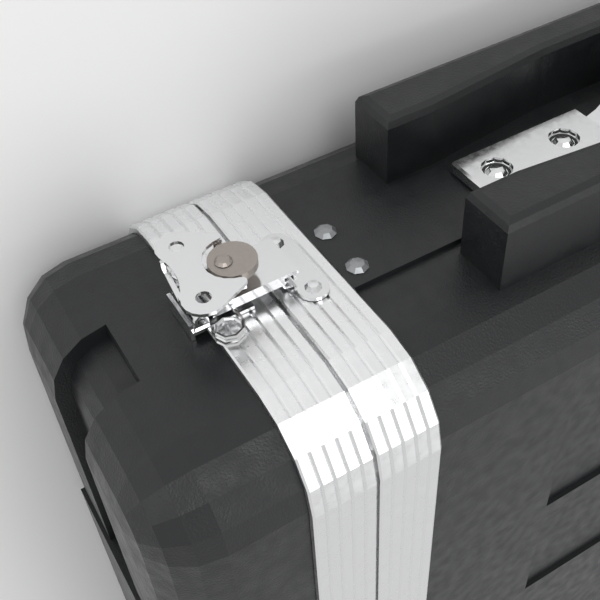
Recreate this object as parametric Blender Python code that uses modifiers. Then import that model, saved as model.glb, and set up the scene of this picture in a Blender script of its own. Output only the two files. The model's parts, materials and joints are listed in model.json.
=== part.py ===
"""Moulded rack case for equipment three rack units high.

A black moulded body is open at both ends and closed by two lift-off covers. Aluminium
rings frame the four open edges, four butterfly latches hold the covers, and two strap
handles lie between guard ribs on the sides. The case stands on its base with the front
cover towards -Y and +Z up. Sizes below are in millimetres, the model is in metres.
"""
import math

import bmesh
import bpy
from mathutils import Matrix, Vector

MM = 0.001

# Rack standard
RACK_UNITS = 3
RACK_UNIT = 44.45
PANEL_WIDTH = 482.6
RACK_HOLE_SPACING = 465.1
RACK_HOLE_SIZE = 9.5
RACK_HOLE_EDGE = 6.35
RACK_HOLE_STEP = 15.875

# Room and clearances
HEADROOM = 7.9
SIDE_ROOM = 6.3
FIT_GAP = 0.3
SEAM_GAP = 1.2

# Moulded shells
BODY_LENGTH = 450.0
COVER_DEPTH = 87.5
WALL = 4.0
BAND_PROUD = 3.4
CORNER_RADIUS = 34.4
SHOULDER_RADIUS = 27.5
CORNER_STEPS = 4
SHOULDER_STEPS = 4
FOOT_DROP = 2.0
RECESS_WIDTH = 73.0
RECESS_RIDGE = 12.0
RECESS_FIRST = 27.0
RECESS_END = 100.0
RECESS_DEPTH = 2.5
RECESS_ROOM = 3.0
SIDE_PANEL_WIDTH = 43.0
SIDE_PANEL_DROP = 1.0
FRONT_PANEL_WIDTH = 230.0
FRONT_PANEL_PROUD = 2.0
GROOVE_WIDTH = 33.0
GROOVE_DEPTH = 7.0
GROOVE_START = 60.0

# Guard ribs beside the handles
RIB_HEIGHT = 29.0
RIB_START = 76.0
RIB_INNER = 26.0
RIB_WIDTH = 25.0
RIB_SCOOP = 7.0
RIB_EDGE = 4.0

# Aluminium rings
RING_WIDTH = 27.4
RING_SKIN = 3.1
RING_FLUTES = 5
FLUTE_DEPTH = 0.7
FLUTE_SHOULDER = 0.8
RING_WEB = 2.0
RING_LIP_WIDTH = 14.0
RING_LIP_THICKNESS = 1.7
TONGUE_LENGTH = 3.0
TONGUE_THICKNESS = 1.6
GROOVE_PLAY = 0.4

# Rack rails
RAIL_THICKNESS = 2.0
RAIL_SETBACK = 22.0
RAIL_SIDE_DEPTH = 28.0
RAIL_FACE_INSET = 7.0
RAIL_RIVET_SETBACK = 36.0
RAIL_RIVET_SPACING = 24.0

# Latch plates, along the case from the seam, across it, and out from the ring
LATCH_SHEET = 1.5
BASE_REAR = 36.0
BASE_FRONT = 9.5
BASE_HALF = 11.0
BASE_WALL_HEIGHT = 5.0
PIVOT_BACK = 31.0
PIVOT_HEIGHT = 5.0
PIVOT_PIN_RADIUS = 1.2
EAR_RADIUS = 3.0
EAR_OFFSET = 8.7
CARRIER_HALF = 8.3
CARRIER_FRONT = 3.0
CARRIER_UNDERSIDE = 6.2
BARREL_RADIUS = 2.5
HOOK_HALF = 10.8
HOOK_UNDERSIDE = 8.4
HOOK_END = 10.3
HOOK_FLANGE_END = 4.3
HOOK_FLANGE_BOTTOM = 5.0
HOOK_LIP_BOTTOM = 4.0
CAM_PIVOT_BACK = 14.9
CAM_TILT = -6.1
DISC_RADIUS = 9.6
DISC_OFFSET = 3.5
DISC_THICKNESS = 3.4
DISC_TOP = 19.0
HUB_RADIUS = 5.0
LOBE_RADIUS = 5.5
LOBE_THROW = 3.3
LOBE_PLAY = 1.3
RIVET_SHANK = 1.6
CAM_RIVET_HEAD = 3.55
CAM_RIVET_RISE = 1.4
WING_TOP = 20.0
WING_HOLE_BACK = 13.2
WING_HOLE_OFFSET = 14.9
WING_HOLE_RADIUS = 3.05
WING_LOBE_RADIUS = 8.4
WING_NOTCH_BACK = 18.3
WING_NOTCH_RADIUS = 24.8
WING_NOTCH_SPAN = 28.5
WING_THROAT = 11.5
WING_ARM_WIDTH = 3.8
WING_GRIP_HALF = 11.5
WING_GRIP_SIZE = 2.0
FOLD_AXIS_AHEAD = 2.0
FOLD_AXIS_HEIGHT = 16.7
FOLD_PIN_RADIUS = 1.0

# Strike on the body ring
STRIKE_NEAR = 7.9
STRIKE_WIDTH = 12.7
STRIKE_HALF = 21.0
STRIKE_RIVET_OFFSET = 14.7
CURL_RADIUS = 2.1
CURL_CENTRE = 6.0
CURL_HALF = 9.4

# Latch springs
SPRING_WIRE = 1.6
SPRING_RADIUS = 5.35
SPRING_TURNS = 2.5
SPRING_PITCH = 2.2
SPRING_POINTS = 8
SPRING_BACK = 23.7
SPRING_OFFSET = 19.0
SPRING_LEG_END = 11.6

# Rivets
RIVET_HEAD = 3.6
RIVET_RISE = 2.2
RAIL_RIVET_HEAD = 4.9
RAIL_RIVET_RISE = 2.0
BASE_RIVET_HEAD = 2.9
BASE_RIVET_RISE = 1.3
RIVET_STEPS = 8

# Strap handles
HANDLE_REACH = 248.0
CAP_LENGTH = 70.0
CAP_WIDTH = 29.0
CAP_HEIGHT = 6.2
CAP_WALL = 1.5
CAP_DIMPLE_RADIUS = 7.0
CAP_DIMPLE_DEPTH = 2.6
CAP_RIVET_FIRST = 13.5
CAP_RIVET_SPACING = 37.0
STRAP_WIDTH = 20.0
STRAP_THICKNESS = 1.4
STRAP_REST = 1.05
STRAP_LIFT = 0.8
STRAP_RISE_START = 71.0
STRAP_RISE_LENGTH = 30.0
GRIP_AXIS_HEIGHT = 18.0
GRIP_WIDTH = 28.0
GRIP_THICKNESS = 12.0
GRIP_LENGTH = 72.0
GRIP_EDGE = 3.0

# Worked out sizes
BAND_HEIGHT = RACK_UNITS * RACK_UNIT + 2 * (HEADROOM + WALL + BAND_PROUD)
BAND_WIDTH = PANEL_WIDTH + 2 * (SIDE_ROOM + WALL + BAND_PROUD)
SHELL_WIDTH = BAND_WIDTH - 2 * BAND_PROUD
SHELL_HEIGHT = BAND_HEIGHT - 2 * BAND_PROUD
SHELL_RADIUS = CORNER_RADIUS - BAND_PROUD
MID_Z = FOOT_DROP + BAND_HEIGHT / 2
SEAM_Y = BODY_LENGTH / 2
RAIL_HEIGHT = RACK_UNITS * RACK_UNIT
BODY_WEB = RING_WEB + TONGUE_LENGTH
CAM_UNDERSIDE = CARRIER_UNDERSIDE + LATCH_SHEET + 2 * FIT_GAP
DRAW_TRAVEL = 2 * LOBE_THROW


def clear_scene():
    """Remove what the file holds before the case is built."""
    for old in list(bpy.data.objects):
        bpy.data.objects.remove(old, do_unlink=True)


def new_collection(name):
    """A collection linked to the scene."""
    group = bpy.data.collections.new(name)
    bpy.context.scene.collection.children.link(group)
    return group


def material(name, colour, roughness, metallic):
    """A plain surface finish."""
    finish = bpy.data.materials.new(name)
    finish.use_nodes = True
    shader = finish.node_tree.nodes["Principled BSDF"]
    shader.inputs["Base Color"].default_value = (*colour, 1.0)
    shader.inputs["Roughness"].default_value = roughness
    shader.inputs["Metallic"].default_value = metallic
    finish.diffuse_color = (*colour, 1.0)
    return finish


# Outlines

def arc(centre_x, centre_y, radius, start, end, steps):
    """Points of an arc, angles in degrees."""
    points = []
    for i in range(steps + 1):
        angle = math.radians(start + (end - start) * i / steps)
        points.append((centre_x + radius * math.cos(angle), centre_y + radius * math.sin(angle)))
    return points


def rounded_outline(width, height, radius, steps=CORNER_STEPS):
    """A rectangle with round corners, centred, anticlockwise."""
    dx = width / 2 - radius
    dy = height / 2 - radius
    outline = []
    for sign_x, sign_y, start in ((1, 1, 0), (-1, 1, 90), (-1, -1, 180), (1, -1, 270)):
        outline += arc(sign_x * dx, sign_y * dy, radius, start, start + 90, steps)
    return outline


def rectangle(x_low, y_low, x_high, y_high):
    """Four corners, anticlockwise."""
    return [(x_low, y_low), (x_high, y_low), (x_high, y_high), (x_low, y_high)]


def circle(centre_x, centre_y, radius, steps):
    """A full circle of points."""
    return arc(centre_x, centre_y, radius, 0, 360, steps)[:-1]


# Solids

def temporary(mesh, name="piece"):
    """An object in the workshop collection that holds a mesh while it is worked on."""
    piece = bpy.data.objects.new(name, mesh)
    WORKSHOP.objects.link(piece)
    piece.hide_render = True
    piece.display_type = "WIRE"
    return piece


def evaluated_mesh(piece):
    """The mesh that an object shows with its modifiers, welded."""
    bpy.context.view_layer.update()
    graph = bpy.context.evaluated_depsgraph_get()
    mesh = bpy.data.meshes.new_from_object(piece.evaluated_get(graph))
    work = bmesh.new()
    work.from_mesh(mesh)
    bmesh.ops.remove_doubles(work, verts=work.verts, dist=0.00001)
    work.to_mesh(mesh)
    work.free()
    return mesh


def flat_solid(outlines, thickness):
    """Outlines in XY filled and thickened from z = 0; inner outlines are holes."""
    data = bpy.data.curves.new("outline", "CURVE")
    data.dimensions = "2D"
    data.fill_mode = "BOTH"
    data.extrude = thickness / 2 * MM
    for outline in outlines:
        spline = data.splines.new("POLY")
        spline.points.add(len(outline) - 1)
        for point, (x, y) in zip(spline.points, outline):
            point.co = (x * MM, y * MM, 0.0, 1.0)
        spline.use_cyclic_u = True
    holder = bpy.data.objects.new("outline", data)
    WORKSHOP.objects.link(holder)
    mesh = evaluated_mesh(holder)
    bpy.data.objects.remove(holder)
    mesh.transform(Matrix.Translation((0, 0, thickness / 2 * MM)))
    return temporary(mesh)


def moved(piece, matrix):
    """Carry a temporary piece's mesh by a matrix."""
    piece.data.transform(matrix)
    return piece


def shift(x, y, z):
    """A translation in millimetres."""
    return Matrix.Translation((x * MM, y * MM, z * MM))


def along_z(outlines, low, high):
    """A solid with its outlines in XY."""
    return moved(flat_solid(outlines, high - low), shift(0, 0, low))


def along_y(outlines, low, high):
    """A solid with its outlines in XZ."""
    turn = Matrix.Rotation(math.radians(90), 4, "X")
    return moved(flat_solid(outlines, high - low), shift(0, high, 0) @ turn)


def along_x(outlines, low, high):
    """A solid with its outlines in YZ."""
    turn = Matrix(((0, 0, 1, 0), (1, 0, 0, 0), (0, 1, 0, 0), (0, 0, 0, 1)))
    return moved(flat_solid(outlines, high - low), shift(low, 0, 0) @ turn)


def block(low, high, edge=0.0, steps=1):
    """A box between two corners, its edges rounded where edge is given."""
    work = bmesh.new()
    bmesh.ops.create_cube(work, size=1.0)
    size = Vector(high) - Vector(low)
    middle = (Vector(high) + Vector(low)) / 2
    bmesh.ops.scale(work, vec=size * MM, verts=work.verts)
    bmesh.ops.translate(work, vec=middle * MM, verts=work.verts)
    if edge:
        bmesh.ops.bevel(work, geom=work.edges[:], offset=edge * MM, offset_type="OFFSET",
                        segments=steps, profile=0.5, affect="EDGES")
    mesh = bpy.data.meshes.new("block")
    work.to_mesh(mesh)
    work.free()
    return temporary(mesh)


def rod(start, end, radius, steps):
    """A cylinder between two points."""
    start = Vector(start)
    end = Vector(end)
    work = bmesh.new()
    bmesh.ops.create_cone(work, cap_ends=True, segments=steps, radius1=radius * MM,
                          radius2=radius * MM, depth=(end - start).length * MM)
    mesh = bpy.data.meshes.new("rod")
    work.to_mesh(mesh)
    work.free()
    turn = (end - start).to_track_quat("Z", "Y").to_matrix().to_4x4()
    return moved(temporary(mesh), Matrix.Translation((start + end) / 2 * MM) @ turn)


def turned(profile, steps):
    """A profile of radius and height, top to bottom, turned round Z."""
    mesh = bpy.data.meshes.new("profile")
    points = [(radius * MM, 0.0, height * MM) for radius, height in profile]
    mesh.from_pydata(points, [(i, i + 1) for i in range(len(points) - 1)], [])
    piece = temporary(mesh)
    screw = piece.modifiers.new("turn", "SCREW")
    screw.steps = steps
    screw.render_steps = steps
    screw.use_merge_vertices = True
    screw.merge_threshold = 0.00001
    piece.data = evaluated_mesh(piece)
    piece.modifiers.clear()
    return piece


def built(base, joined=(), cut=()):
    """One solid from a base, the pieces joined to it and the pieces cut from it."""
    for others, operation in ((joined, "UNION"), (cut, "DIFFERENCE")):
        for other in others:
            step = base.modifiers.new(operation.lower(), "BOOLEAN")
            step.operation = operation
            step.solver = "EXACT"
            step.object = other
    base.data = evaluated_mesh(base)
    base.modifiers.clear()
    for other in (*joined, *cut):
        bpy.data.objects.remove(other)
    return base


def common(piece, form):
    """What a piece and a form have in common."""
    step = piece.modifiers.new("common", "BOOLEAN")
    step.operation = "INTERSECT"
    step.solver = "EXACT"
    step.object = form
    piece.data = evaluated_mesh(piece)
    piece.modifiers.clear()
    bpy.data.objects.remove(form)
    return piece


def finished(name, piece, finish, frame=Matrix.Identity(4), origin=(0, 0, 0), parent=None, keep=False):
    """Put a piece's mesh on the case as a named sub-part with its origin at a point of its frame."""
    mesh = piece.data
    if not keep:
        mesh.transform(shift(*origin).inverted())
        bpy.data.objects.remove(piece)
        mesh.materials.clear()
        mesh.materials.append(finish)
        mesh.shade_smooth()
        mesh.set_sharp_from_angle(angle=math.radians(35))
        mesh.name = name
    part = bpy.data.objects.new(name, mesh)
    CASE.objects.link(part)
    part.matrix_world = frame @ shift(*origin)
    if parent:
        attach(part, parent)
    return part


def attach(part, parent):
    """Parent an object and leave it where it is."""
    bpy.context.view_layer.update()
    part.parent = parent
    part.matrix_parent_inverse = parent.matrix_world.inverted()


def axis_empty(name, frame, place=(0, 0, 0), parent=None):
    """An empty on a joint's axis."""
    empty = bpy.data.objects.new(name, None)
    empty.empty_display_size = 10 * MM
    CASE.objects.link(empty)
    empty.matrix_world = frame @ shift(*place)
    if parent:
        attach(empty, parent)
    bpy.context.view_layer.update()
    return empty


# Moulded body

def shell_block(low, high, inset):
    """The body's rounded section, drawn in by inset, from low to high along Y."""
    outline = rounded_outline(SHELL_WIDTH - 2 * inset, SHELL_HEIGHT - 2 * inset, SHELL_RADIUS - inset)
    return moved(along_y([outline], low, high), shift(0, 0, MID_Z))


def rib_outline(inset):
    """Plan of one guard rib, length along X and inner edge towards -Y, with a finger scoop."""
    half = BODY_LENGTH / 2 - RIB_START - inset
    inner = RIB_INNER + inset
    outer = RIB_INNER + RIB_WIDTH - inset
    scoop_end = half * 0.84
    scoop_flat = half * 0.4
    outline = [(-half, inner), (-scoop_end, inner)]
    outline += [(-scoop_flat, inner + RIB_SCOOP), (scoop_flat, inner + RIB_SCOOP)]
    outline += [(scoop_end, inner), (half, inner), (half, outer), (-half, outer)]
    return outline


def guard_rib(side, row, inset):
    """A rib, or with inset the pocket inside it; side is -1 or 1 in X, row is -1 or 1 in Z."""
    top = BAND_WIDTH / 2 + RIB_HEIGHT - inset
    root = SHELL_WIDTH / 2 - WALL - inset
    rib = along_z([rib_outline(inset)], root, top)
    if not inset:
        work = bmesh.new()
        work.from_mesh(rib.data)
        bmesh.ops.dissolve_limit(work, angle_limit=0.01, verts=work.verts, edges=work.edges)
        rim = [e for e in work.edges if all(v.co.z > (top - 0.1) * MM for v in e.verts)]
        bmesh.ops.bevel(work, geom=rim, offset=RIB_EDGE * MM, offset_type="OFFSET", segments=2,
                        profile=0.5, affect="EDGES")
        work.to_mesh(rib.data)
        work.free()
    # Length to +Y, inner edge towards the middle, height to the outside
    turn = Matrix.Rotation(math.radians(90 * side), 4, "Y") @ Matrix.Rotation(math.radians(90), 4, "Z")
    flip = Matrix.Rotation(math.radians(180 if side * row < 0 else 0), 4, "X")
    return moved(rib, shift(0, 0, MID_Z) @ flip @ turn)


def recess_plan(side, place, inset):
    """Plan rectangle of one recess of the top, drawn in by inset; place is 0 or 1 from the middle."""
    inner = RECESS_FIRST + place * (RECESS_WIDTH + RECESS_RIDGE) + inset
    outer = inner + RECESS_WIDTH - 2 * inset
    half = SEAM_Y - RECESS_END - inset
    x_low, x_high = sorted((side * inner, side * outer))
    return x_low, -half, x_high, half


def body_shell():
    """The moulded tube with its feet, recesses, side panels and guard ribs."""
    end = SEAM_Y - SEAM_GAP / 2 - BODY_WEB - FIT_GAP
    bottom = MID_Z - SHELL_HEIGHT / 2
    top = MID_Z + SHELL_HEIGHT / 2
    face = SHELL_WIDTH / 2
    panel_face = BAND_WIDTH / 2 - SIDE_PANEL_DROP
    panel_end = SEAM_Y - RING_WIDTH - SEAM_GAP / 2 - FIT_GAP
    outer = shell_block(-end, end, 0)
    inner = shell_block(-end - 1, end + 1, WALL)
    added = []
    removed = []
    hollow_added = []
    hollow_removed = []
    holes = []
    for side in (-1, 1):
        x_low, x_high = sorted((side * (face - WALL / 2), side * panel_face))
        added.append(block((x_low, -panel_end, MID_Z - SIDE_PANEL_WIDTH / 2),
                           (x_high, panel_end, MID_Z + SIDE_PANEL_WIDTH / 2)))
        for row in (-1, 1):
            added.append(guard_rib(side, row, 0))
            hollow_added.append(guard_rib(side, row, WALL))
        for place in (0, 1):
            x_low, y_low, x_high, y_high = recess_plan(side, place, RECESS_ROOM)
            added.append(block((x_low, y_low, 0), (x_high, y_high, bottom + WALL / 2)))
            x_low, y_low, x_high, y_high = recess_plan(side, place, RECESS_ROOM + WALL)
            hollow_added.append(block((x_low, y_low, WALL), (x_high, y_high, bottom + 2 * WALL)))
            x_low, y_low, x_high, y_high = recess_plan(side, place, 0)
            removed.append(block((x_low, y_low, top - RECESS_DEPTH), (x_high, y_high, top + 1)))
            x_low, y_low, x_high, y_high = recess_plan(side, place, -WALL)
            hollow_removed.append(block((x_low, y_low, top - RECESS_DEPTH - WALL), (x_high, y_high, top + 1)))
        for end in (-1, 1):
            for row in (-1, 1):
                y = end * (SEAM_Y - RAIL_RIVET_SETBACK)
                z = MID_Z + row * RAIL_RIVET_SPACING / 2
                holes.append(rod((side * (face - 2 * WALL), y, z), (side * (panel_face + 1), y, z),
                                 RIVET_SHANK + FIT_GAP, RIVET_STEPS))
    hollow = built(inner, hollow_added, hollow_removed)
    outside = built(outer, added, removed)
    return built(outside, (), [hollow] + holes)


# Moulded covers

def cover_block(inset, back):
    """The cover's outer or inner form: open end at y = back, closed end towards -Y."""
    front = -COVER_DEPTH + inset
    outline = rounded_outline(SHELL_WIDTH - 2 * inset, SHELL_HEIGHT - 2 * inset, SHELL_RADIUS - inset)
    form = moved(along_y([outline], front, back), shift(0, 0, MID_Z))
    work = bmesh.new()
    work.from_mesh(form.data)
    bmesh.ops.dissolve_limit(work, angle_limit=0.01, verts=work.verts, edges=work.edges)
    rim = [e for e in work.edges if all(v.co.y < (front + 0.1) * MM for v in e.verts)]
    bmesh.ops.bevel(work, geom=rim, offset=(SHOULDER_RADIUS - inset) * MM, offset_type="OFFSET",
                    segments=SHOULDER_STEPS, profile=0.5, affect="EDGES")
    work.to_mesh(form.data)
    work.free()
    return form


def groove_cut(side, grow):
    """The channel at mid height that runs round the shoulder and along the front."""
    half = GROOVE_WIDTH / 2 + grow
    face = SHELL_WIDTH / 2
    depth = GROOVE_DEPTH + grow
    reach = 20.0
    start = -GROOVE_START + grow
    inner_edge = FRONT_PANEL_WIDTH / 2 - grow
    radius = SHOULDER_RADIUS - GROOVE_DEPTH
    corner_x = face - SHOULDER_RADIUS
    corner_y = -COVER_DEPTH + SHOULDER_RADIUS
    floor = arc(corner_x, corner_y, radius - grow, 0, -90, SHOULDER_STEPS)
    outline = [(face + reach, start), (face - depth, start)]
    outline += floor
    outline += [(inner_edge, -COVER_DEPTH + depth), (inner_edge, -COVER_DEPTH - reach)]
    outline += [(face + reach, -COVER_DEPTH - reach)]
    outline = [(side * x, y) for x, y in outline]
    return along_z([outline], MID_Z - half, MID_Z + half)


def cover_shell():
    """One cover in the place of the front one, its open end at the seam, y = 0 at the seam."""
    end = -SEAM_GAP / 2 - RING_WEB - FIT_GAP
    outer = cover_block(0, end)
    inner = cover_block(WALL, end + 1)
    panel = block((-FRONT_PANEL_WIDTH / 2, -COVER_DEPTH - FRONT_PANEL_PROUD, MID_Z - SHELL_HEIGHT / 2 + SHOULDER_RADIUS),
                  (FRONT_PANEL_WIDTH / 2, -COVER_DEPTH + WALL / 2, MID_Z + SHELL_HEIGHT / 2 - SHOULDER_RADIUS))
    hollow = built(inner, (), [groove_cut(side, WALL) for side in (-1, 1)])
    outside = built(outer, (panel,), [groove_cut(side, 0) for side in (-1, 1)])
    return built(outside, (), (hollow,))


# Aluminium rings

def ring_profile(tongue):
    """Section of a ring: distance from the seam and height from the outer face."""
    start = SEAM_GAP / 2
    end = start + RING_WIDTH
    web = RING_WEB if tongue else BODY_WEB
    inner = -BAND_PROUD - WALL - FIT_GAP
    middle = -BAND_PROUD - WALL / 2
    profile = []
    pitch = RING_WIDTH / RING_FLUTES
    for i in range(RING_FLUTES):
        profile += [(start + i * pitch, -FLUTE_DEPTH), (start + i * pitch + FLUTE_SHOULDER, 0.0)]
        profile += [(start + (i + 1) * pitch - FLUTE_SHOULDER, 0.0)]
    profile += [(end, -FLUTE_DEPTH), (end, -RING_SKIN), (start + web, -RING_SKIN), (start + web, inner)]
    profile += [(start + RING_LIP_WIDTH, inner), (start + RING_LIP_WIDTH, inner - RING_LIP_THICKNESS)]
    profile += [(start, inner - RING_LIP_THICKNESS)]
    if tongue:
        half = TONGUE_THICKNESS / 2
        tip = start - TONGUE_LENGTH
    else:
        half = TONGUE_THICKNESS / 2 + GROOVE_PLAY
        tip = start + TONGUE_LENGTH
    profile += [(start, middle - half), (tip, middle - half), (tip, middle + half), (start, middle + half)]
    return profile


def ring(tongue):
    """A ring round the open edge, swept along the band's outline, seam at y = 0, width towards -Y."""
    section = bpy.data.curves.new("section", "CURVE")
    section.dimensions = "2D"
    spline = section.splines.new("POLY")
    profile = ring_profile(tongue)
    spline.points.add(len(profile) - 1)
    for point, (distance, height) in zip(spline.points, profile):
        point.co = (-height * MM, distance * MM, 0.0, 1.0)
    spline.use_cyclic_u = True
    shape = bpy.data.objects.new("section", section)
    WORKSHOP.objects.link(shape)
    path = bpy.data.curves.new("path", "CURVE")
    path.dimensions = "2D"
    path.fill_mode = "NONE"
    path.bevel_mode = "OBJECT"
    path.bevel_object = shape
    line = path.splines.new("POLY")
    outline = rounded_outline(BAND_WIDTH, BAND_HEIGHT, CORNER_RADIUS)
    line.points.add(len(outline) - 1)
    for point, (x, z) in zip(line.points, outline):
        point.co = (x * MM, z * MM, 0.0, 1.0)
    line.use_cyclic_u = True
    holder = bpy.data.objects.new("path", path)
    WORKSHOP.objects.link(holder)
    mesh = evaluated_mesh(holder)
    bpy.data.objects.remove(holder)
    bpy.data.objects.remove(shape)
    turn = Matrix.Rotation(math.radians(90), 4, "X")
    mesh.transform(shift(0, 0, MID_Z) @ turn)
    outwards(mesh)
    return temporary(mesh)


def outwards(mesh):
    """Turn a closed mesh's faces to the outside."""
    work = bmesh.new()
    work.from_mesh(mesh)
    bmesh.ops.recalc_face_normals(work, faces=work.faces)
    work.to_mesh(mesh)
    work.free()


# Rack rails

def rail_holes(centre_x):
    """The square holes of one rail face, three to a rack unit."""
    half = RACK_HOLE_SIZE / 2
    holes = []
    for unit in range(RACK_UNITS):
        for step in range(3):
            height = -RAIL_HEIGHT / 2 + unit * RACK_UNIT + RACK_HOLE_EDGE + step * RACK_HOLE_STEP
            holes.append(rectangle(centre_x - half, height - half, centre_x + half, height + half))
    return holes


def rail(side):
    """An angle rail at the front of the body, on the side given by side."""
    wall = SHELL_WIDTH / 2 - WALL - FIT_GAP
    inner_edge = RACK_HOLE_SPACING / 2 - RAIL_FACE_INSET
    y_face = -SEAM_Y + RAIL_SETBACK
    x_low, x_high = sorted((side * inner_edge, side * wall))
    half = RAIL_HEIGHT / 2
    face = [rectangle(x_low, -half, x_high, half)] + rail_holes(side * RACK_HOLE_SPACING / 2)
    plate = moved(along_y(face, y_face, y_face + RAIL_THICKNESS), shift(0, 0, MID_Z))
    x_low, x_high = sorted((side * (wall - RAIL_THICKNESS), side * wall))
    flange = rectangle(y_face + RAIL_THICKNESS / 2, -half, y_face + RAIL_SIDE_DEPTH, half)
    side_plate = moved(along_x([flange], x_low, x_high), shift(0, 0, MID_Z))
    frame = side_frame(side, -SEAM_Y + RAIL_RIVET_SETBACK, 1)
    rivets = []
    for row in (-1, 1):
        place = shift(0, row * RAIL_RIVET_SPACING / 2, FIT_GAP - SIDE_PANEL_DROP)
        reach = FIT_GAP + BAND_WIDTH / 2 - SIDE_PANEL_DROP - wall + RAIL_THICKNESS / 2
        rivets.append(moved(rivet(RAIL_RIVET_HEAD, RAIL_RIVET_RISE, reach), frame @ place))
    angle = common(built(plate, (side_plate,)), shell_block(-SEAM_Y, 0, WALL + FIT_GAP))
    return built(angle, rivets)


# Rivets

def rivet(head, rise, shank_length):
    """A dome-headed rivet, its head standing on z = 0."""
    profile = [(0, rise), (head * 0.62, rise * 0.78), (head, 0.0), (RIVET_SHANK, 0.0)]
    profile += [(RIVET_SHANK, -shank_length), (0, -shank_length)]
    return turned(profile, RIVET_STEPS)


def seated_rivet(head, rise, x, y, z):
    """A rivet's dome sunk a little into the plate that it holds, whose face is at z."""
    profile = [(0, rise), (head * 0.62, rise * 0.78), (head, 0.0), (head, -FIT_GAP), (0, -FIT_GAP)]
    return moved(turned(profile, RIVET_STEPS), shift(x, y, z))


def side_frame(side, y, along):
    """Frame on the side of the case at the ring's outer face and mid height.

    Its X runs along the case in the direction of along, its Z points outwards and its Y
    lies across, so that every copy is a turned one and never mirrored.
    """
    out = Vector((side, 0, 0))
    run = Vector((0, along, 0))
    across = out.cross(run)
    frame = Matrix((run, across, out)).transposed().to_4x4()
    frame.translation = Vector((side * BAND_WIDTH / 2, y, MID_Z)) * MM
    return frame


def base_rivet_places():
    """Distances of the base rivets from the seam."""
    return BASE_FRONT + 2 * RIVET_SHANK, PIVOT_BACK - BARREL_RADIUS - 3 * RIVET_SHANK


# Latch pieces, drawn with X towards the body, Y across and Z out from the ring

def latch_base():
    """Base plate with its rear wall and the two ears of the pivot."""
    low = FIT_GAP
    high = FIT_GAP + LATCH_SHEET
    plate = along_z([rectangle(-BASE_REAR + LATCH_SHEET / 2, -BASE_HALF, -BASE_FRONT, BASE_HALF)], low, high)
    wall = block((-BASE_REAR, -BASE_HALF + 1, FIT_GAP - BAND_PROUD),
                 (-BASE_REAR + LATCH_SHEET, BASE_HALF - 1, BASE_WALL_HEIGHT))
    rivets = [seated_rivet(BASE_RIVET_HEAD, BASE_RIVET_RISE, -back, 0, high) for back in base_rivet_places()]
    foot_height = (low + high) / 2
    ears = []
    for row in (-1, 1):
        profile = arc(-PIVOT_BACK, PIVOT_HEIGHT, EAR_RADIUS, 0, 180, 5)
        profile += [(-PIVOT_BACK - EAR_RADIUS, foot_height), (-PIVOT_BACK + EAR_RADIUS, foot_height)]
        hole = circle(-PIVOT_BACK, PIVOT_HEIGHT, PIVOT_PIN_RADIUS + FIT_GAP, RIVET_STEPS)
        near, far = sorted((row * EAR_OFFSET, row * (EAR_OFFSET + LATCH_SHEET)))
        ears.append(along_y([profile, hole], near, far))
    return built(plate, [wall] + ears + rivets)


def latch_pivot_pin():
    """Pin through the ears of the base and the barrel of the carrier."""
    end = EAR_OFFSET + LATCH_SHEET + FIT_GAP
    return rod((-PIVOT_BACK, -end, PIVOT_HEIGHT), (-PIVOT_BACK, end, PIVOT_HEIGHT), PIVOT_PIN_RADIUS, RIVET_STEPS)


def latch_carrier():
    """Lever that swings up from the base and carries the hook and the cam."""
    hole = circle(-CAM_PIVOT_BACK, 0, RIVET_SHANK + FIT_GAP, RIVET_STEPS)
    plan = rectangle(-PIVOT_BACK, -CARRIER_HALF, -CARRIER_FRONT, CARRIER_HALF)
    plate = along_z([plan, hole], CARRIER_UNDERSIDE, CARRIER_UNDERSIDE + LATCH_SHEET)
    barrel = rod((-PIVOT_BACK, -CARRIER_HALF + 0.1, PIVOT_HEIGHT), (-PIVOT_BACK, CARRIER_HALF - 0.1, PIVOT_HEIGHT),
                 BARREL_RADIUS, 12)
    bore = rod((-PIVOT_BACK, -CARRIER_HALF - 1, PIVOT_HEIGHT), (-PIVOT_BACK, CARRIER_HALF + 1, PIVOT_HEIGHT),
               PIVOT_PIN_RADIUS + FIT_GAP, RIVET_STEPS)
    return built(plate, (barrel,), (bore,))


def latch_hook():
    """Draw plate with its side flanges, its lip over the strike and the window for the cam's lobe."""
    window_back = CAM_PIVOT_BACK + LOBE_THROW + LOBE_RADIUS + LOBE_PLAY
    window_front = CAM_PIVOT_BACK + LOBE_THROW - LOBE_RADIUS - LOBE_PLAY
    window_half = LOBE_RADIUS + LOBE_THROW + FIT_GAP
    rear = window_back + LATCH_SHEET
    top = HOOK_UNDERSIDE + LATCH_SHEET
    window = rectangle(-window_back, -window_half, -window_front, window_half)
    plate = along_z([rectangle(-rear, -HOOK_HALF, HOOK_END, HOOK_HALF), window], HOOK_UNDERSIDE, top)
    joint = HOOK_UNDERSIDE + LATCH_SHEET / 2
    flanges = []
    for row in (-1, 1):
        near, far = sorted((row * (HOOK_HALF - 1.0), row * (HOOK_HALF - 0.02)))
        flanges.append(block((-rear + 0.02, near, HOOK_FLANGE_BOTTOM), (HOOK_FLANGE_END, far, joint)))
    lip = block((HOOK_END - LATCH_SHEET, -CURL_HALF, HOOK_LIP_BOTTOM), (HOOK_END - 0.02, CURL_HALF, joint))
    return built(plate, flanges + [lip])


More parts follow.
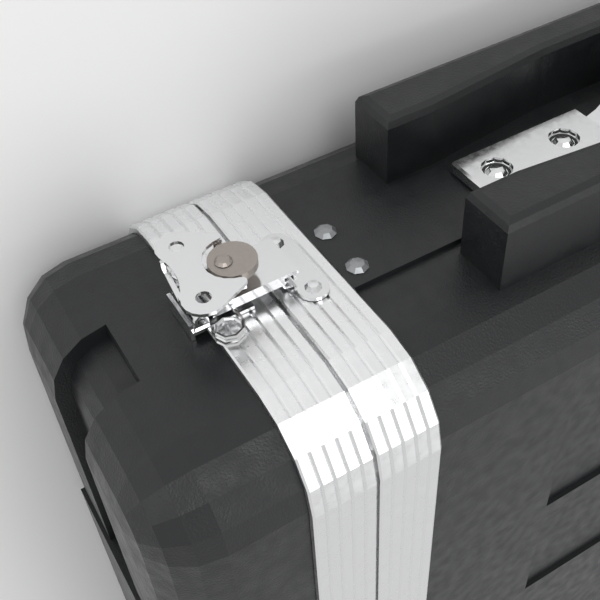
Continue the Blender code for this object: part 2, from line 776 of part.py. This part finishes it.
def latch_cam():
    """Eccentric disc with the hub and lobe beneath it and the pins that the wing folds on."""
    disc_low = DISC_TOP - DISC_THICKNESS
    hook_top = HOOK_UNDERSIDE + LATCH_SHEET
    disc = rod((DISC_OFFSET, 0, disc_low), (DISC_OFFSET, 0, DISC_TOP), DISC_RADIUS, 24)
    hub = rod((0, 0, hook_top + 2 * FIT_GAP), (0, 0, disc_low + FIT_GAP), HUB_RADIUS, 12)
    lobe = rod((-LOBE_THROW, 0, CAM_UNDERSIDE), (-LOBE_THROW, 0, hook_top + 3 * FIT_GAP), LOBE_RADIUS, 12)
    pin_end = WING_THROAT + LATCH_SHEET + 2 * FIT_GAP
    pins = rod((FOLD_AXIS_AHEAD, -pin_end, FOLD_AXIS_HEIGHT), (FOLD_AXIS_AHEAD, pin_end, FOLD_AXIS_HEIGHT),
               FOLD_PIN_RADIUS, RIVET_STEPS)
    bore = rod((0, 0, CAM_UNDERSIDE - 1), (0, 0, DISC_TOP + 1), RIVET_SHANK + FIT_GAP, RIVET_STEPS)
    return moved(built(disc, (hub, lobe, pins), (bore,)), cam_frame())


def cam_frame():
    """From the cam's own centre to the latch: on the rivet and turned a little past dead centre."""
    return shift(-CAM_PIVOT_BACK, 0, 0) @ Matrix.Rotation(math.radians(CAM_TILT), 4, "Z")


def latch_cam_rivet():
    """Rivet that the cam turns on, headed over the disc and under the carrier."""
    over = DISC_TOP + FIT_GAP
    under = CARRIER_UNDERSIDE - FIT_GAP
    lower_head = 1.6 * RIVET_SHANK
    profile = [(0, over + CAM_RIVET_RISE), (CAM_RIVET_HEAD * 0.7, over + CAM_RIVET_RISE * 0.75)]
    profile += [(CAM_RIVET_HEAD, over), (RIVET_SHANK, over), (RIVET_SHANK, under), (lower_head, under)]
    profile += [(lower_head, under - 1.0), (0, under - 1.0)]
    return moved(turned(profile, 12), shift(-CAM_PIVOT_BACK, 0, 0))


def wing_outline():
    """Butterfly plan: two round lobes, a notch behind and a throat round the disc."""
    half = []
    lobe_x = -WING_HOLE_BACK
    lobe_y = -WING_HOLE_OFFSET
    tip_x = DISC_OFFSET - WING_ARM_WIDTH / 3
    tip_y = -WING_THROAT - WING_ARM_WIDTH / 2
    half += arc(lobe_x, lobe_y, WING_LOBE_RADIUS, 160, 302, 7)
    half += arc(tip_x, tip_y, WING_ARM_WIDTH / 2, 302, 450, 4)
    throat = arc(DISC_OFFSET, 0, WING_THROAT, -90, -270, 10)
    other = [(x, -y) for x, y in reversed(half)]
    notch_centre = -WING_NOTCH_BACK - WING_NOTCH_RADIUS
    notch = arc(notch_centre, 0, WING_NOTCH_RADIUS, WING_NOTCH_SPAN, -WING_NOTCH_SPAN, 6)
    return notch[1:-1] + half + throat[1:-1] + other


def latch_wing():
    """Folding butterfly wing with its ears, lobe holes and finger bar."""
    low = WING_TOP - LATCH_SHEET
    holes = [circle(-WING_HOLE_BACK, row * WING_HOLE_OFFSET, WING_HOLE_RADIUS, 12) for row in (-1, 1)]
    plate = along_z([wing_outline()] + holes, low, WING_TOP)
    ears = []
    bores = []
    for row in (-1, 1):
        near, far = sorted((row * (WING_THROAT + 0.15), row * (WING_THROAT + LATCH_SHEET)))
        ears.append(block((FOLD_AXIS_AHEAD - 1.8, near, FOLD_AXIS_HEIGHT - 1.8), (FOLD_AXIS_AHEAD + 1.8, far, low + 0.5)))
        bores.append(rod((FOLD_AXIS_AHEAD, near - 0.5, FOLD_AXIS_HEIGHT), (FOLD_AXIS_AHEAD, far + 0.5, FOLD_AXIS_HEIGHT),
                         FOLD_PIN_RADIUS + FIT_GAP, RIVET_STEPS))
    bar_x = -WING_NOTCH_BACK - WING_GRIP_SIZE
    bar_low = low - 2 * WING_GRIP_SIZE
    bar = block((bar_x - WING_GRIP_SIZE / 2, -WING_GRIP_HALF, bar_low), (bar_x + WING_GRIP_SIZE / 2, WING_GRIP_HALF, bar_low + WING_GRIP_SIZE))
    legs = []
    for row in (-1, 1):
        near, far = sorted((row * (WING_GRIP_HALF - WING_GRIP_SIZE), row * (WING_GRIP_HALF - 0.02)))
        legs.append(block((bar_x - WING_GRIP_SIZE / 2 + 0.02, near, bar_low + 0.5), (bar_x + WING_GRIP_SIZE / 2 - 0.02, far, low + 0.5)))
    return moved(built(plate, ears + [bar] + legs, bores), cam_frame())


def latch_strike():
    """Strike plate with round ends, two rivet holes and the curled edge that the hook holds."""
    low = FIT_GAP
    high = FIT_GAP + LATCH_SHEET
    middle = STRIKE_NEAR + STRIKE_WIDTH / 2
    radius = STRIKE_WIDTH / 2
    outline = arc(middle, STRIKE_HALF - radius, radius, 0, 180, 8)
    outline += arc(middle, -STRIKE_HALF + radius, radius, 180, 360, 8)
    plate = along_z([outline], low, high)
    rivets = [seated_rivet(RIVET_HEAD, RIVET_RISE, middle, row * STRIKE_RIVET_OFFSET, high) for row in (-1, 1)]
    centre = FIT_GAP + CURL_RADIUS + LATCH_SHEET / 2
    inner = CURL_RADIUS - LATCH_SHEET * 0.7
    curl_outline = arc(CURL_CENTRE, centre, CURL_RADIUS, 280, 60, 8)
    curl_outline += arc(CURL_CENTRE, centre, inner, 60, 260, 6)
    curl_outline += [(STRIKE_NEAR + 1, high - 0.1), (STRIKE_NEAR + 1, low + 0.1)]
    curl = along_y([curl_outline], -CURL_HALF, CURL_HALF)
    return built(plate, [curl] + rivets)


def spring_path(row):
    """Centre line of one latch spring: low leg, coil rising from the ring, high leg."""
    start = FIT_GAP + SPRING_WIRE / 2
    rise = SPRING_TURNS * SPRING_PITCH
    points = [(-SPRING_BACK - SPRING_RADIUS, SPRING_LEG_END, start)]
    points.append((-SPRING_BACK - SPRING_RADIUS, SPRING_OFFSET - SPRING_RADIUS / 2, start))
    count = int(SPRING_TURNS * SPRING_POINTS)
    for i in range(count + 1):
        angle = math.radians(180) - 2 * math.pi * SPRING_TURNS * i / count
        points.append((-SPRING_BACK + SPRING_RADIUS * math.cos(angle),
                       SPRING_OFFSET + SPRING_RADIUS * math.sin(angle), start + rise * i / count))
    points.append((-SPRING_BACK + SPRING_RADIUS, SPRING_OFFSET - SPRING_RADIUS / 2, start + rise))
    points.append((-SPRING_BACK + SPRING_RADIUS, SPRING_LEG_END, start + rise))
    return [Vector((x, row * y, z)) for x, y, z in points]


def spring_self_gap(points):
    """Least gap between stretches of the wire that lie more than half a turn apart."""
    least = 1000.0
    for i in range(len(points) - 1):
        for j in range(i + SPRING_POINTS // 2, len(points) - 1):
            for s in range(5):
                first = points[i].lerp(points[i + 1], s / 4)
                for t in range(5):
                    second = points[j].lerp(points[j + 1], t / 4)
                    least = min(least, (first - second).length)
    return least - SPRING_WIRE


def latch_spring(row):
    """One coil spring of a latch, an unbroken wire; row is -1 or 1 across the latch."""
    data = bpy.data.curves.new("wire", "CURVE")
    data.dimensions = "3D"
    data.bevel_depth = SPRING_WIRE / 2 * MM
    data.bevel_resolution = 1
    data.use_fill_caps = True
    spline = data.splines.new("POLY")
    points = spring_path(row)
    spline.points.add(len(points) - 1)
    for point, place in zip(spline.points, points):
        point.co = (*(place * MM), 1.0)
    holder = bpy.data.objects.new("wire", data)
    WORKSHOP.objects.link(holder)
    mesh = evaluated_mesh(holder)
    bpy.data.objects.remove(holder)
    print("least gap of a latch spring to itself, mm:", round(spring_self_gap(points), 3))
    return temporary(mesh)


# Strap handles, drawn with X along the handle, Y across and Z out from the ring

def handle_cap():
    """Pressed end cap with two dimples, hollow beneath for the strap; its outer end at x = 0."""
    low = FIT_GAP - SIDE_PANEL_DROP
    top = low + CAP_HEIGHT
    half = CAP_WIDTH / 2
    cap = block((0, -half, low), (CAP_LENGTH, half, top), 1.0)
    channel = block((CAP_WALL, -STRAP_WIDTH / 2 - FIT_GAP, low - 1),
                    (CAP_LENGTH + 1, STRAP_WIDTH / 2 + FIT_GAP, strap_top() + STRAP_LIFT + FIT_GAP))
    dimples = []
    for place in cap_rivet_places():
        dimples.append(rod((place, 0, top - CAP_DIMPLE_DEPTH), (place, 0, top + 1), CAP_DIMPLE_RADIUS, 12))
    pressed = built(cap, (), [channel] + dimples)
    floor = top - CAP_DIMPLE_DEPTH
    return built(pressed, [seated_rivet(RAIL_RIVET_HEAD, RIVET_RISE, place, 0, floor) for place in cap_rivet_places()])


def strap_top():
    """Height of the strap's upper face inside a cap."""
    return STRAP_REST - SIDE_PANEL_DROP + STRAP_THICKNESS / 2


def cap_rivet_places():
    """Distances of a cap's rivets from its outer end."""
    return CAP_RIVET_FIRST, CAP_RIVET_FIRST + CAP_RIVET_SPACING


def cap_frames(side):
    """Frames of the front and rear cap of one handle."""
    return [side_frame(side, end * HANDLE_REACH / 2, -end) for end in (-1, 1)]


def strap_line(offset, start):
    """Side view of the strap's line, offset square to it, from x = -reach to x = reach."""
    half = HANDLE_REACH / 2
    rest = STRAP_REST - SIDE_PANEL_DROP
    rise_start = -half + STRAP_RISE_START
    points = [(-half + start, rest + offset), (rise_start, rest + offset)]
    for i in range(1, 4):
        share = i / 4
        ease = share * share * (3 - 2 * share)
        points.append((rise_start + STRAP_RISE_LENGTH * share, rest + (GRIP_AXIS_HEIGHT - rest) * ease + offset))
    points.append((rise_start + STRAP_RISE_LENGTH, GRIP_AXIS_HEIGHT + offset))
    return points + [(-x, z) for x, z in reversed(points)]


def strap_solid(start, thickness, width):
    """A strap of a thickness and width along the strap's line."""
    upper = strap_line(thickness / 2, start)
    lower = strap_line(-thickness / 2, start)
    return along_y([lower + upper[::-1]], -width / 2, width / 2)


def handle_strap():
    """Spring steel strap from cap to cap."""
    return strap_solid(CAP_WALL + 6 * FIT_GAP, STRAP_THICKNESS, STRAP_WIDTH)


def handle_grip():
    """Moulded grip round the raised middle of the strap."""
    half = GRIP_LENGTH / 2
    broad = GRIP_WIDTH / 2
    middle = block((-half, -broad, GRIP_AXIS_HEIGHT - GRIP_THICKNESS / 2),
                   (half, broad, GRIP_AXIS_HEIGHT + GRIP_THICKNESS / 2), GRIP_EDGE, 2)
    slot = strap_solid(0, STRAP_THICKNESS + 2 * FIT_GAP, STRAP_WIDTH + 2 * FIT_GAP)
    return built(middle, (), (slot,))


def build_latches(finishes, covers):
    """The four latches: every copy shares its meshes, turned into place."""
    pieces = {
        "base": (latch_base(), "steel", (0, 0, 0), "cover"),
        "pivot_pin": (latch_pivot_pin(), "steel", (-PIVOT_BACK, 0, PIVOT_HEIGHT), "cover"),
        "upper_spring": (latch_spring(1), "steel", (0, 0, 0), "cover"),
        "lower_spring": (latch_spring(-1), "steel", (0, 0, 0), "cover"),
        "carrier": (latch_carrier(), "steel", (-PIVOT_BACK, 0, PIVOT_HEIGHT), "lift"),
        "cam_rivet": (latch_cam_rivet(), "zinc", (-CAM_PIVOT_BACK, 0, 0), "lift"),
        "hook": (latch_hook(), "steel", (0, 0, HOOK_UNDERSIDE), "lift"),
        "cam": (latch_cam(), "zinc", (-CAM_PIVOT_BACK, 0, 0), "turn"),
        "wing": (latch_wing(), "steel", (0, 0, 0), "fold"),
    }
    fold_point = cam_frame() @ Vector((FOLD_AXIS_AHEAD * MM, 0, FOLD_AXIS_HEIGHT * MM)) / MM
    kept = {}
    for end, end_name in ((-1, "front"), (1, "rear")):
        for side, side_name in ((-1, "left"), (1, "right")):
            frame = side_frame(side, end * SEAM_Y, -end)
            prefix = f"{end_name}_{side_name}_latch"
            lift = axis_empty(f"{prefix}_lift_axis", frame, (-PIVOT_BACK, 0, PIVOT_HEIGHT), covers[end])
            turn = axis_empty(f"{prefix}_turn_axis", frame, (-CAM_PIVOT_BACK, 0, 0), lift)
            fold = axis_empty(f"{prefix}_fold_axis", frame, tuple(fold_point), turn)
            holders = {"cover": covers[end], "lift": lift, "turn": turn, "fold": fold}
            for name, (piece, finish, origin, holder) in pieces.items():
                source = kept.get(name, piece)
                part = finished(f"{prefix}_{name}", source, finishes[finish], frame, origin, holders[holder], name in kept)
                kept[name] = part
            strike = kept.get("strike") or latch_strike()
            kept["strike"] = finished(f"{end_name}_{side_name}_strike", strike, finishes["steel"], frame,
                                      keep="strike" in kept)


def build_handles(finishes):
    """Both handles with their caps, straps and grips."""
    kept = {}
    makers = {"cap": handle_cap, "strap": handle_strap, "grip": handle_grip}
    colours = {"cap": "steel", "strap": "steel", "grip": "grip"}
    for side, side_name in ((-1, "left"), (1, "right")):
        middle = side_frame(side, 0, 1)
        lift = axis_empty(f"{side_name}_handle_lift_axis", middle)
        places = {"strap": [("strap", middle, lift)], "grip": [("grip", middle, lift)]}
        front, rear = cap_frames(side)
        places["cap"] = [("front_cap", front, None), ("rear_cap", rear, None)]
        for kind, spots in places.items():
            for name, frame, parent in spots:
                source = kept.get(kind) or makers[kind]()
                kept[kind] = finished(f"{side_name}_handle_{name}", source, finishes[colours[kind]], frame,
                                      parent=parent, keep=kind in kept)


def build_case():
    """The whole case."""
    finishes = {
        "shell": material("moulded_black", (0.022, 0.024, 0.025), 0.42, 0.0),
        "aluminium": material("mill_aluminium", (0.80, 0.81, 0.82), 0.32, 1.0),
        "steel": material("bright_zinc", (0.82, 0.83, 0.84), 0.18, 1.0),
        "zinc": material("cast_zinc", (0.50, 0.46, 0.44), 0.38, 1.0),
        "rail": material("rail_steel", (0.30, 0.31, 0.32), 0.45, 1.0),
        "grip": material("grip_black", (0.018, 0.018, 0.019), 0.5, 0.0),
    }
    half_turn = Matrix.Rotation(math.radians(180), 4, "Z")
    finished("body_shell", body_shell(), finishes["shell"])
    covers = {}
    seams = {-1: shift(0, -SEAM_Y, 0), 1: half_turn @ shift(0, -SEAM_Y, 0)}
    cover_source = cover_shell()
    ring_source = ring(True)
    body_ring = moved(ring(False), half_turn)
    for end, end_name in ((-1, "front"), (1, "rear")):
        covers[end] = axis_empty(f"{end_name}_cover_pull_axis", seams[end])
        again = end == 1
        cover_source = finished(f"{end_name}_cover_shell", cover_source, finishes["shell"], seams[end],
                                parent=covers[end], keep=again)
        ring_source = finished(f"{end_name}_cover_ring", ring_source, finishes["aluminium"], seams[end],
                               parent=covers[end], keep=again)
        body_ring = finished(f"{end_name}_body_ring", body_ring, finishes["aluminium"], seams[end], keep=again)
    for side, side_name in ((-1, "left"), (1, "right")):
        for end, end_name in ((-1, "front"), (1, "rear")):
            place = Matrix.Identity(4) if end < 0 else half_turn
            finished(f"{end_name}_{side_name}_rack_rail", rail(side * -end), finishes["rail"], place)
    build_latches(finishes, covers)
    build_handles(finishes)


clear_scene()
CASE = new_collection("rack_case")
WORKSHOP = new_collection("cutters")
build_case()
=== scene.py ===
"""Looks of the moulded rack case: finishes, softened edges, dark rings of painted shade round the handle rivets and
the studio.
"""

import json
import math

import bpy
import numpy as np
from mathutils import Matrix, Vector


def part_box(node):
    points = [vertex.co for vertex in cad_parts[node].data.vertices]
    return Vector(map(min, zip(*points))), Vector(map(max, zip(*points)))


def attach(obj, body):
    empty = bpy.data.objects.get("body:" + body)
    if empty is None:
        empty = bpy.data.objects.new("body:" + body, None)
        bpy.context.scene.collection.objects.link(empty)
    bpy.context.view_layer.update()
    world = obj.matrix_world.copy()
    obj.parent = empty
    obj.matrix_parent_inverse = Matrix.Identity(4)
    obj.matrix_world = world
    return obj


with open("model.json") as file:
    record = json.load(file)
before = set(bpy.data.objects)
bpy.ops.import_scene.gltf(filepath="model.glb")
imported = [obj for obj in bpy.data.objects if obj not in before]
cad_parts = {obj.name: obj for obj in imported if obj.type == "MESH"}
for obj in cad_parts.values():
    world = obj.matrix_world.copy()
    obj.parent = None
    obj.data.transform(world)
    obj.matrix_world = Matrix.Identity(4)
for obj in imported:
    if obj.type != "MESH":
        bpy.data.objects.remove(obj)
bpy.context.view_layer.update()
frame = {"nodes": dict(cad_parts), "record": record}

MM = 0.001

# Camera of the photo, found from the straight edges of the ring and the seam
CAMERA_PLACE = (-0.5098, -0.3308, 0.3187)
CAMERA_RIGHT = (0.053, 0.860, 0.507)
CAMERA_UP = (-0.692, 0.397, -0.602)
CAMERA_LENS = 55.72
CAMERA_SENSOR = 36.0
CAMERA_NEAR = 0.01
PICTURE_SIZE = 600

# Softened edges of the parts, in millimetres
MOULDED_EDGE = 1.6
SHEET_EDGE = 0.25
EDGE_ANGLE = 32.0
EDGE_SEGMENTS = 2

# Dark rings of painted shade in the dimples round the domed rivets of the handle caps, in millimetres
SHADE_RING_INNER = 4.95
SHADE_RING_OUTER = 6.3
SHADE_RING_RISE = 0.35
SHADE_RING_FOOT = 0.04
SHADE_RING_LIFT = 0.05
SHADE_RING_SIDES = 48
SHADE_RING_STEPS = 6
CAP_UNDERSIDE = -0.7
CAP_DIMPLE_FLOOR = 2.9
CAP_RIVETS = (13.5, 50.5)

# Middle of the noise, where most of its values lie
NOISE_LOW = 0.3
NOISE_HIGH = 0.7

# Studio, in metres and watts
FLOOR_HALF = 3.0
SEEN_STRENGTH = 1.0
LIGHTING_STRENGTH = 0.85
LIGHTS_AIM = (-0.25, -0.15, 0.08)
LIGHTS = (
    ("key light", (-1.3, -0.2, 1.1), 0.8, 4.5),
    ("fill light", (-0.9, -1.3, 0.5), 0.9, 2.0),
    ("top light", (-0.1, 0.3, 1.6), 1.0, 4.0),
)


def surface_material(name, colour, roughness, metallic):
    """A shader with its colour, roughness and metallic value, and its tree."""
    finish = bpy.data.materials.new(name)
    finish.use_nodes = True
    tree = finish.node_tree
    shader = tree.nodes["Principled BSDF"]
    shader.inputs["Base Color"].default_value = (*colour, 1.0)
    shader.inputs["Roughness"].default_value = roughness
    shader.inputs["Metallic"].default_value = metallic
    return finish, tree, shader


def object_noise(tree, size, detail=3.0, stretch=(1.0, 1.0, 1.0)):
    """Noise on the piece's own coordinates, with grains of about size in metres."""
    place = tree.nodes.new("ShaderNodeTexCoord")
    mapping = tree.nodes.new("ShaderNodeMapping")
    mapping.inputs["Scale"].default_value = stretch
    noise = tree.nodes.new("ShaderNodeTexNoise")
    noise.inputs["Scale"].default_value = 1.0 / size
    noise.inputs["Detail"].default_value = detail
    tree.links.new(place.outputs["Object"], mapping.inputs["Vector"])
    tree.links.new(mapping.outputs["Vector"], noise.inputs["Vector"])
    return noise


def add_bump(tree, shader, noise, depth, strength):
    """Raise the surface by the noise."""
    bump = tree.nodes.new("ShaderNodeBump")
    bump.inputs["Distance"].default_value = depth
    bump.inputs["Strength"].default_value = strength
    tree.links.new(noise.outputs["Fac"], bump.inputs["Height"])
    tree.links.new(bump.outputs["Normal"], shader.inputs["Normal"])


def vary(tree, socket, noise, low, high):
    """Drive a shader's value by the noise, between low and high."""
    spread = tree.nodes.new("ShaderNodeMapRange")
    spread.inputs["From Min"].default_value = NOISE_LOW
    spread.inputs["From Max"].default_value = NOISE_HIGH
    spread.inputs["To Min"].default_value = low
    spread.inputs["To Max"].default_value = high
    tree.links.new(noise.outputs["Fac"], spread.inputs["Value"])
    tree.links.new(spread.outputs["Result"], socket)


def grained_moulding():
    """Black moulding with the leathery grain that catches the light in small glints."""
    finish, tree, shader = surface_material("grained moulding", (0.010, 0.011, 0.012), roughness=0.40, metallic=0.0)
    grain = object_noise(tree, 0.9 * MM, detail=2.0)
    add_bump(tree, shader, grain, depth=0.22 * MM, strength=0.85)
    vary(tree, shader.inputs["Roughness"], object_noise(tree, 7 * MM), low=0.34, high=0.50)
    return finish


def fluted_aluminium():
    """Mill aluminium with faint drawing lines along the ring."""
    finish, tree, shader = surface_material("fluted aluminium", (0.88, 0.885, 0.89), roughness=0.30, metallic=1.0)
    lines = object_noise(tree, 0.25 * MM, detail=2.0, stretch=(0.02, 1.0, 0.02))
    add_bump(tree, shader, lines, depth=0.02 * MM, strength=0.4)
    vary(tree, shader.inputs["Roughness"], object_noise(tree, 4 * MM), low=0.24, high=0.38)
    return finish


def bright_plating():
    """Bright plated sheet steel, a little uneven."""
    finish, tree, shader = surface_material("bright plating", (0.80, 0.805, 0.81), roughness=0.14, metallic=1.0)
    add_bump(tree, shader, object_noise(tree, 5 * MM), depth=0.05 * MM, strength=0.25)
    vary(tree, shader.inputs["Roughness"], object_noise(tree, 3 * MM), low=0.10, high=0.22)
    return finish


def cast_zinc():
    """Grey-brown zinc of the cam and its rivet."""
    finish, tree, shader = surface_material("cast zinc", (0.40, 0.36, 0.33), roughness=0.40, metallic=1.0)
    add_bump(tree, shader, object_noise(tree, 0.5 * MM), depth=0.04 * MM, strength=0.5)
    vary(tree, shader.inputs["Roughness"], object_noise(tree, 2 * MM), low=0.32, high=0.52)
    return finish


def rail_steel():
    """Dull plated steel of the rack rails."""
    finish, tree, shader = surface_material("rail steel", (0.34, 0.35, 0.36), roughness=0.45, metallic=1.0)
    vary(tree, shader.inputs["Roughness"], object_noise(tree, 6 * MM), low=0.38, high=0.55)
    return finish


def grip_moulding():
    """Soft black moulding of the grips."""
    finish, tree, shader = surface_material("grip moulding", (0.016, 0.016, 0.017), roughness=0.5, metallic=0.0)
    add_bump(tree, shader, object_noise(tree, 0.6 * MM), depth=0.06 * MM, strength=0.6)
    vary(tree, shader.inputs["Roughness"], object_noise(tree, 5 * MM), low=0.42, high=0.60)
    return finish


FINISHES = {
    "moulding": grained_moulding(),
    "aluminium": fluted_aluminium(),
    "bright_zinc": bright_plating(),
    "cast_zinc": cast_zinc(),
    "rail_steel": rail_steel(),
    "grip": grip_moulding(),
}


def dress_parts():
    """Give each part its slot's finish and softened edges."""
    for entry in frame["record"]["subparts"]:
        part = frame["nodes"][entry["node"]]
        slot = entry["material_slot"]
        part.data.materials.clear()
        part.data.materials.append(FINISHES[slot])
        edge = part.modifiers.new("softened edge", "BEVEL")
        edge.width = (MOULDED_EDGE if slot == "moulding" else SHEET_EDGE) * MM
        edge.segments = EDGE_SEGMENTS
        edge.limit_method = "ANGLE"
        edge.angle_limit = math.radians(EDGE_ANGLE)


def painted_shade_ring(name, centre, out):
    """A dark ring of painted shade swept round its rivet in the cap's dimple: an arched section from the inner to
    the outer edge, closed below.
    """
    section = [(SHADE_RING_INNER, 0.0)]
    for i in range(SHADE_RING_STEPS + 1):
        share = i / SHADE_RING_STEPS
        radius = SHADE_RING_INNER + (SHADE_RING_OUTER - SHADE_RING_INNER) * share
        section.append((radius, SHADE_RING_FOOT + SHADE_RING_RISE * math.sin(math.pi * share) ** 0.5))
    section.append((SHADE_RING_OUTER, 0.0))
    turn = np.arange(SHADE_RING_SIDES) * 2 * math.pi / SHADE_RING_SIDES
    points = []
    for angle in turn:
        for radius, rise in section:
            points.append((centre[0] + out * rise * MM, centre[1] + radius * math.cos(angle) * MM,
                           centre[2] + out * radius * math.sin(angle) * MM))
    rows = len(section)
    faces = []
    for i in range(SHADE_RING_SIDES):
        after = (i + 1) % SHADE_RING_SIDES
        for j in range(rows):
            k = (j + 1) % rows
            faces.append((i * rows + j, after * rows + j, after * rows + k, i * rows + k))
    mesh = bpy.data.meshes.new(name)
    mesh.from_pydata(points, [], faces)
    mesh.flip_normals()
    mesh.shade_smooth()
    piece = bpy.data.objects.new(name, mesh)
    bpy.context.scene.collection.objects.link(piece)
    # The grip's black moulding makes the ring dark, as painted shade in the dimple
    mesh.materials.append(FINISHES["grip"])
    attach(piece, "case")


def add_painted_shade_rings():
    """Dark rings of painted shade in the dimples of the four handle caps."""
    for side, side_name in ((-1, "left"), (1, "right")):
        for end, end_name in ((-1, "front"), (1, "rear")):
            low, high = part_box(f"{side_name}_handle_{end_name}_cap")
            middle_z = (low[2] + high[2]) / 2
            outer_y = low[1] if end < 0 else high[1]
            inner_x = high[0] if side < 0 else low[0]
            floor = inner_x + side * (CAP_DIMPLE_FLOOR - CAP_UNDERSIDE + SHADE_RING_LIFT) * MM
            for count, reach in enumerate(CAP_RIVETS, 1):
                centre = (floor, outer_y - end * reach * MM, middle_z)
                painted_shade_ring(f"{side_name}_{end_name}_cap_washer_{count}", centre, side)


def soft_light(name, place, size, power):
    """An area light that looks at the middle of the case's left side."""
    data = bpy.data.lights.new(name, "AREA")
    data.shape = "DISK"
    data.size = size
    data.energy = power
    light = bpy.data.objects.new(name, data)
    bpy.context.scene.collection.objects.link(light)
    aim = Vector(LIGHTS_AIM) - Vector(place)
    light.rotation_euler = aim.to_track_quat("-Z", "Y").to_euler()
    light.location = place


def studio():
    """White surroundings, a pale floor, three soft lights and the photo's camera."""
    scene = bpy.context.scene
    world = bpy.data.worlds.new("studio")
    world.use_nodes = True
    scene.world = world
    tree = world.node_tree
    tree.nodes.clear()
    seen = tree.nodes.new("ShaderNodeBackground")
    seen.inputs["Strength"].default_value = SEEN_STRENGTH
    seen.inputs["Color"].default_value = (1.0, 1.0, 1.0, 1.0)
    lighting = tree.nodes.new("ShaderNodeBackground")
    lighting.inputs["Strength"].default_value = LIGHTING_STRENGTH
    path = tree.nodes.new("ShaderNodeLightPath")
    mix = tree.nodes.new("ShaderNodeMixShader")
    output = tree.nodes.new("ShaderNodeOutputWorld")
    tree.links.new(path.outputs["Is Camera Ray"], mix.inputs["Fac"])
    tree.links.new(lighting.outputs["Background"], mix.inputs[1])
    tree.links.new(seen.outputs["Background"], mix.inputs[2])
    tree.links.new(mix.outputs["Shader"], output.inputs["Surface"])

    floor_mesh = bpy.data.meshes.new("floor")
    corners = [(x * FLOOR_HALF, y * FLOOR_HALF, 0) for x, y in ((-1, -1), (1, -1), (1, 1), (-1, 1))]
    floor_mesh.from_pydata(corners, [], [(0, 1, 2, 3)])
    floor = bpy.data.objects.new("floor", floor_mesh)
    scene.collection.objects.link(floor)
    pale, tree, shader = surface_material("pale floor", (0.92, 0.92, 0.92), roughness=0.8, metallic=0.0)
    vary(tree, shader.inputs["Roughness"], object_noise(tree, 0.2), low=0.75, high=0.85)
    floor_mesh.materials.append(pale)

    for light in LIGHTS:
        soft_light(*light)

    data = bpy.data.cameras.new("camera")
    data.lens = CAMERA_LENS
    data.sensor_width = CAMERA_SENSOR
    data.clip_start = CAMERA_NEAR
    camera = bpy.data.objects.new("camera", data)
    scene.collection.objects.link(camera)
    right = Vector(CAMERA_RIGHT).normalized()
    back = right.cross(Vector(CAMERA_UP)).normalized()
    turn = Matrix((right, back.cross(right), back)).transposed().to_4x4()
    camera.matrix_world = Matrix.Translation(CAMERA_PLACE) @ turn
    scene.camera = camera
    scene.render.resolution_x = PICTURE_SIZE
    scene.render.resolution_y = PICTURE_SIZE
    scene.view_settings.view_transform = "Standard"


dress_parts()
# Dark rings of painted shade in the dimples of the handle caps
add_painted_shade_rings()
studio()
